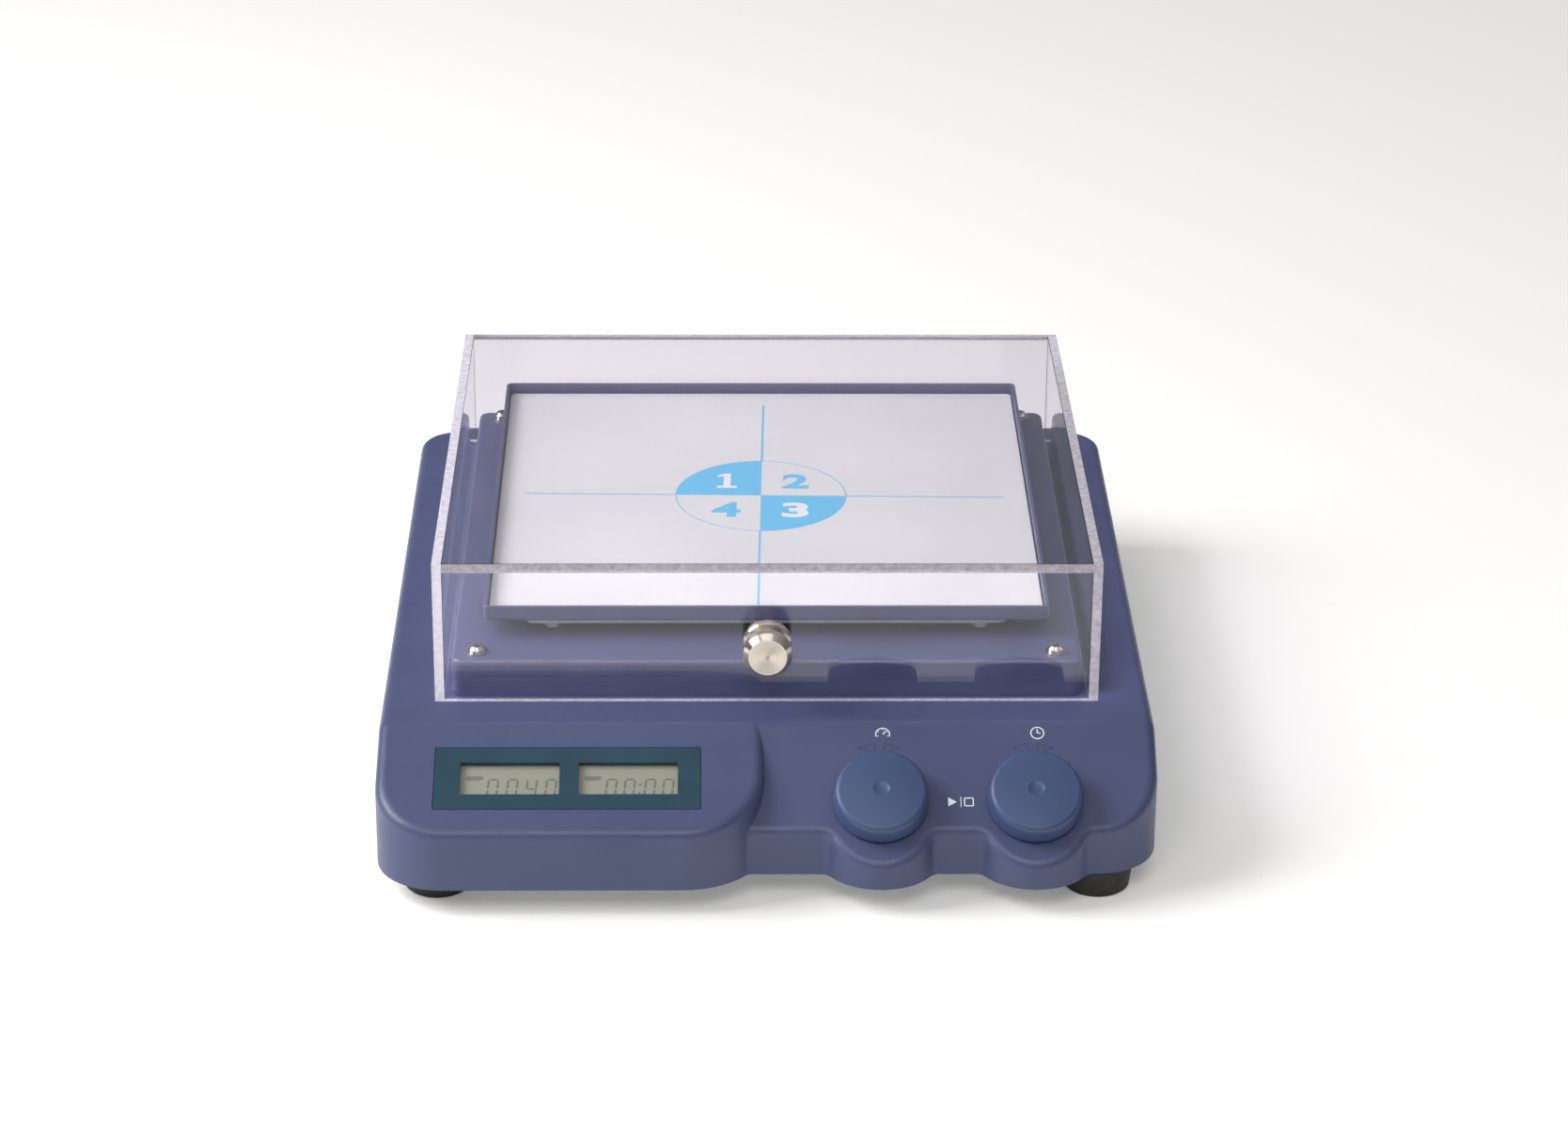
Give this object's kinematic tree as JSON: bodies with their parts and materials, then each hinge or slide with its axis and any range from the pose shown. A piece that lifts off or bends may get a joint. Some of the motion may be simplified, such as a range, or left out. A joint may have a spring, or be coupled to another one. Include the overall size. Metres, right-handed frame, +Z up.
{
  "type": "orbital shaker",
  "caption": "Bench orbital shaker: moulded housing with a sloped control end, two push knobs, a twin display, and a square tray on cranks under a hinged clear hood.",
  "frame": {"origin": "on the floor, under the middle of the housing's plan", "axes": "+X to the right as seen by someone facing the controls, +Y to the back, +Z up"},
  "size_m": [0.325, 0.367, 0.125],
  "materials": {
    "housing_slate": "satin",
    "paint_slate": "satin",
    "knob_blue": "soft satin",
    "clear_acrylic": "polished, clear",
    "mat_white": "satin",
    "window_teal": "gloss",
    "lcd_grey": "satin",
    "nickel": "polished",
    "brass": "satin",
    "rubber_black": "matte",
    "plastic_black": "satin",
    "steel": "satin",
    "zinc_plate": "satin",
    "cast_aluminium": "satin",
    "motor_black": "satin",
    "board_green": "satin"
  },
  "bodies": {
    "base": {"upper_housing": "housing_slate", "bottom_plate": "zinc_plate", "feet": "rubber_black", "foot_screws": "steel", "bottom_screws": "steel", "deck_cover": "paint_slate", "deck_cover_screws": "nickel", "chassis_plate": "zinc_plate", "chassis_standoffs": "steel", "chassis_nuts": "steel", "main_bearing_housing": "cast_aluminium", "main_bearings": "steel", "idler_housings": "cast_aluminium", "motor": "motor_black", "drive_belt": "rubber_black", "hinge_deck_leaves": "nickel", "hinge_pins": "steel", "hinge_deck_screws": "nickel", "display_window": "window_teal", "lcd_modules": "lcd_grey", "display_board": "board_green", "controller_board": "board_green", "power_supply": "cast_aluminium", "encoder_bodies": "steel", "encoder_nuts": "steel", "power_inlet": "plastic_black", "inlet_pins": "nickel", "switch_frame": "plastic_black"},
    "crank": {"crank_shaft": "steel", "bearing_inner_rings": "steel", "crank_hub": "steel", "crank_pin": "steel", "drive_pulley": "cast_aluminium"},
    "idler_1": {"idler_crank_1": "steel"},
    "idler_2": {"idler_crank_2": "steel"},
    "idler_3": {"idler_crank_3": "steel"},
    "motor_rotor": {"motor_shaft": "steel", "motor_pulley": "cast_aluminium"},
    "orbiting_tray": {"tray": "paint_slate", "tray_carrier": "zinc_plate", "tray_mat": "mat_white", "tray_bushes": "brass", "tray_screws": "steel"},
    "hood": {"hood_left": "clear_acrylic", "hood_right": "clear_acrylic", "hood_front": "clear_acrylic", "hood_back": "clear_acrylic", "hood_top": "clear_acrylic", "pull_knob": "nickel", "pull_knob_screw": "steel", "hinge_hood_leaves": "nickel", "hinge_hood_screws": "nickel"},
    "speed_push": {"speed_plunger": "steel"},
    "speed_dial": {"speed_knob": "knob_blue", "speed_shaft": "steel"},
    "time_push": {"time_plunger": "steel"},
    "time_dial": {"time_knob": "knob_blue", "time_shaft": "steel"},
    "rocker": {"power_rocker": "plastic_black"},
    "drawer": {"fuse_drawer": "plastic_black"}
  },
  "joints": [
    {"name": "crank_spin", "type": "hinge", "parent": "base", "child": "crank", "pos_m": [0, 0.0284, 0.068], "axis": [0, 0, 1], "continuous": true},
    {"name": "tray_orbit", "type": "hinge", "parent": "crank", "child": "orbiting_tray", "pos_m": [0, 0.0394, 0.085], "axis": [0, 0, 1], "continuous": true},
    {"name": "idler_1_spin", "type": "hinge", "parent": "base", "child": "idler_1", "pos_m": [0.06235, -0.04591, 0.067], "axis": [0, 0, 1], "continuous": true},
    {"name": "idler_2_spin", "type": "hinge", "parent": "base", "child": "idler_2", "pos_m": [0.03318, 0.11955, 0.067], "axis": [0, 0, 1], "continuous": true},
    {"name": "idler_3_spin", "type": "hinge", "parent": "base", "child": "idler_3", "pos_m": [-0.09553, 0.01156, 0.067], "axis": [0, 0, 1], "continuous": true},
    {"name": "motor_spin", "type": "hinge", "parent": "base", "child": "motor_rotor", "pos_m": [0.07091, 0.0409, 0.024], "axis": [0, 0, 1], "continuous": true},
    {"name": "hood_hinge", "type": "hinge", "parent": "base", "child": "hood", "pos_m": [0, 0.1687, 0.0644], "axis": [-1, 0, 0], "range_deg": [0, 100]},
    {"name": "power_rocker_tilt", "type": "hinge", "parent": "base", "child": "rocker", "pos_m": [-0.064, 0.179, 0.0355], "axis": [-1, 0, 0], "range_deg": [0, 20]},
    {"name": "fuse_drawer_slide", "type": "slide", "parent": "base", "child": "drawer", "axis": [0, 1, 0], "range_m": [0, 0.012]},
    {"name": "speed_push", "type": "slide", "parent": "base", "child": "speed_push", "axis": [0, 0.5592, -0.829], "range_m": [0, 0.001], "stiffness_N_per_m": 2000, "springref_m": -0.0005},
    {"name": "speed_turn", "type": "hinge", "parent": "speed_push", "child": "speed_dial", "pos_m": [0.0466, -0.159, 0.04009], "axis": [0, -0.5592, 0.829], "continuous": true},
    {"name": "time_push", "type": "slide", "parent": "base", "child": "time_push", "axis": [0, 0.5592, -0.829], "range_m": [0, 0.001], "stiffness_N_per_m": 2000, "springref_m": -0.0005},
    {"name": "time_turn", "type": "hinge", "parent": "time_push", "child": "time_dial", "pos_m": [0.1106, -0.159, 0.04009], "axis": [0, -0.5592, 0.829], "continuous": true}
  ],
  "couplings": [
    {"joint": "tray_orbit", "follows": "crank_spin", "ratio": -1},
    {"joint": "idler_1_spin", "follows": "crank_spin", "ratio": 1},
    {"joint": "idler_2_spin", "follows": "crank_spin", "ratio": 1},
    {"joint": "idler_3_spin", "follows": "crank_spin", "ratio": 1},
    {"joint": "motor_spin", "follows": "crank_spin", "ratio": 3}
  ]
}
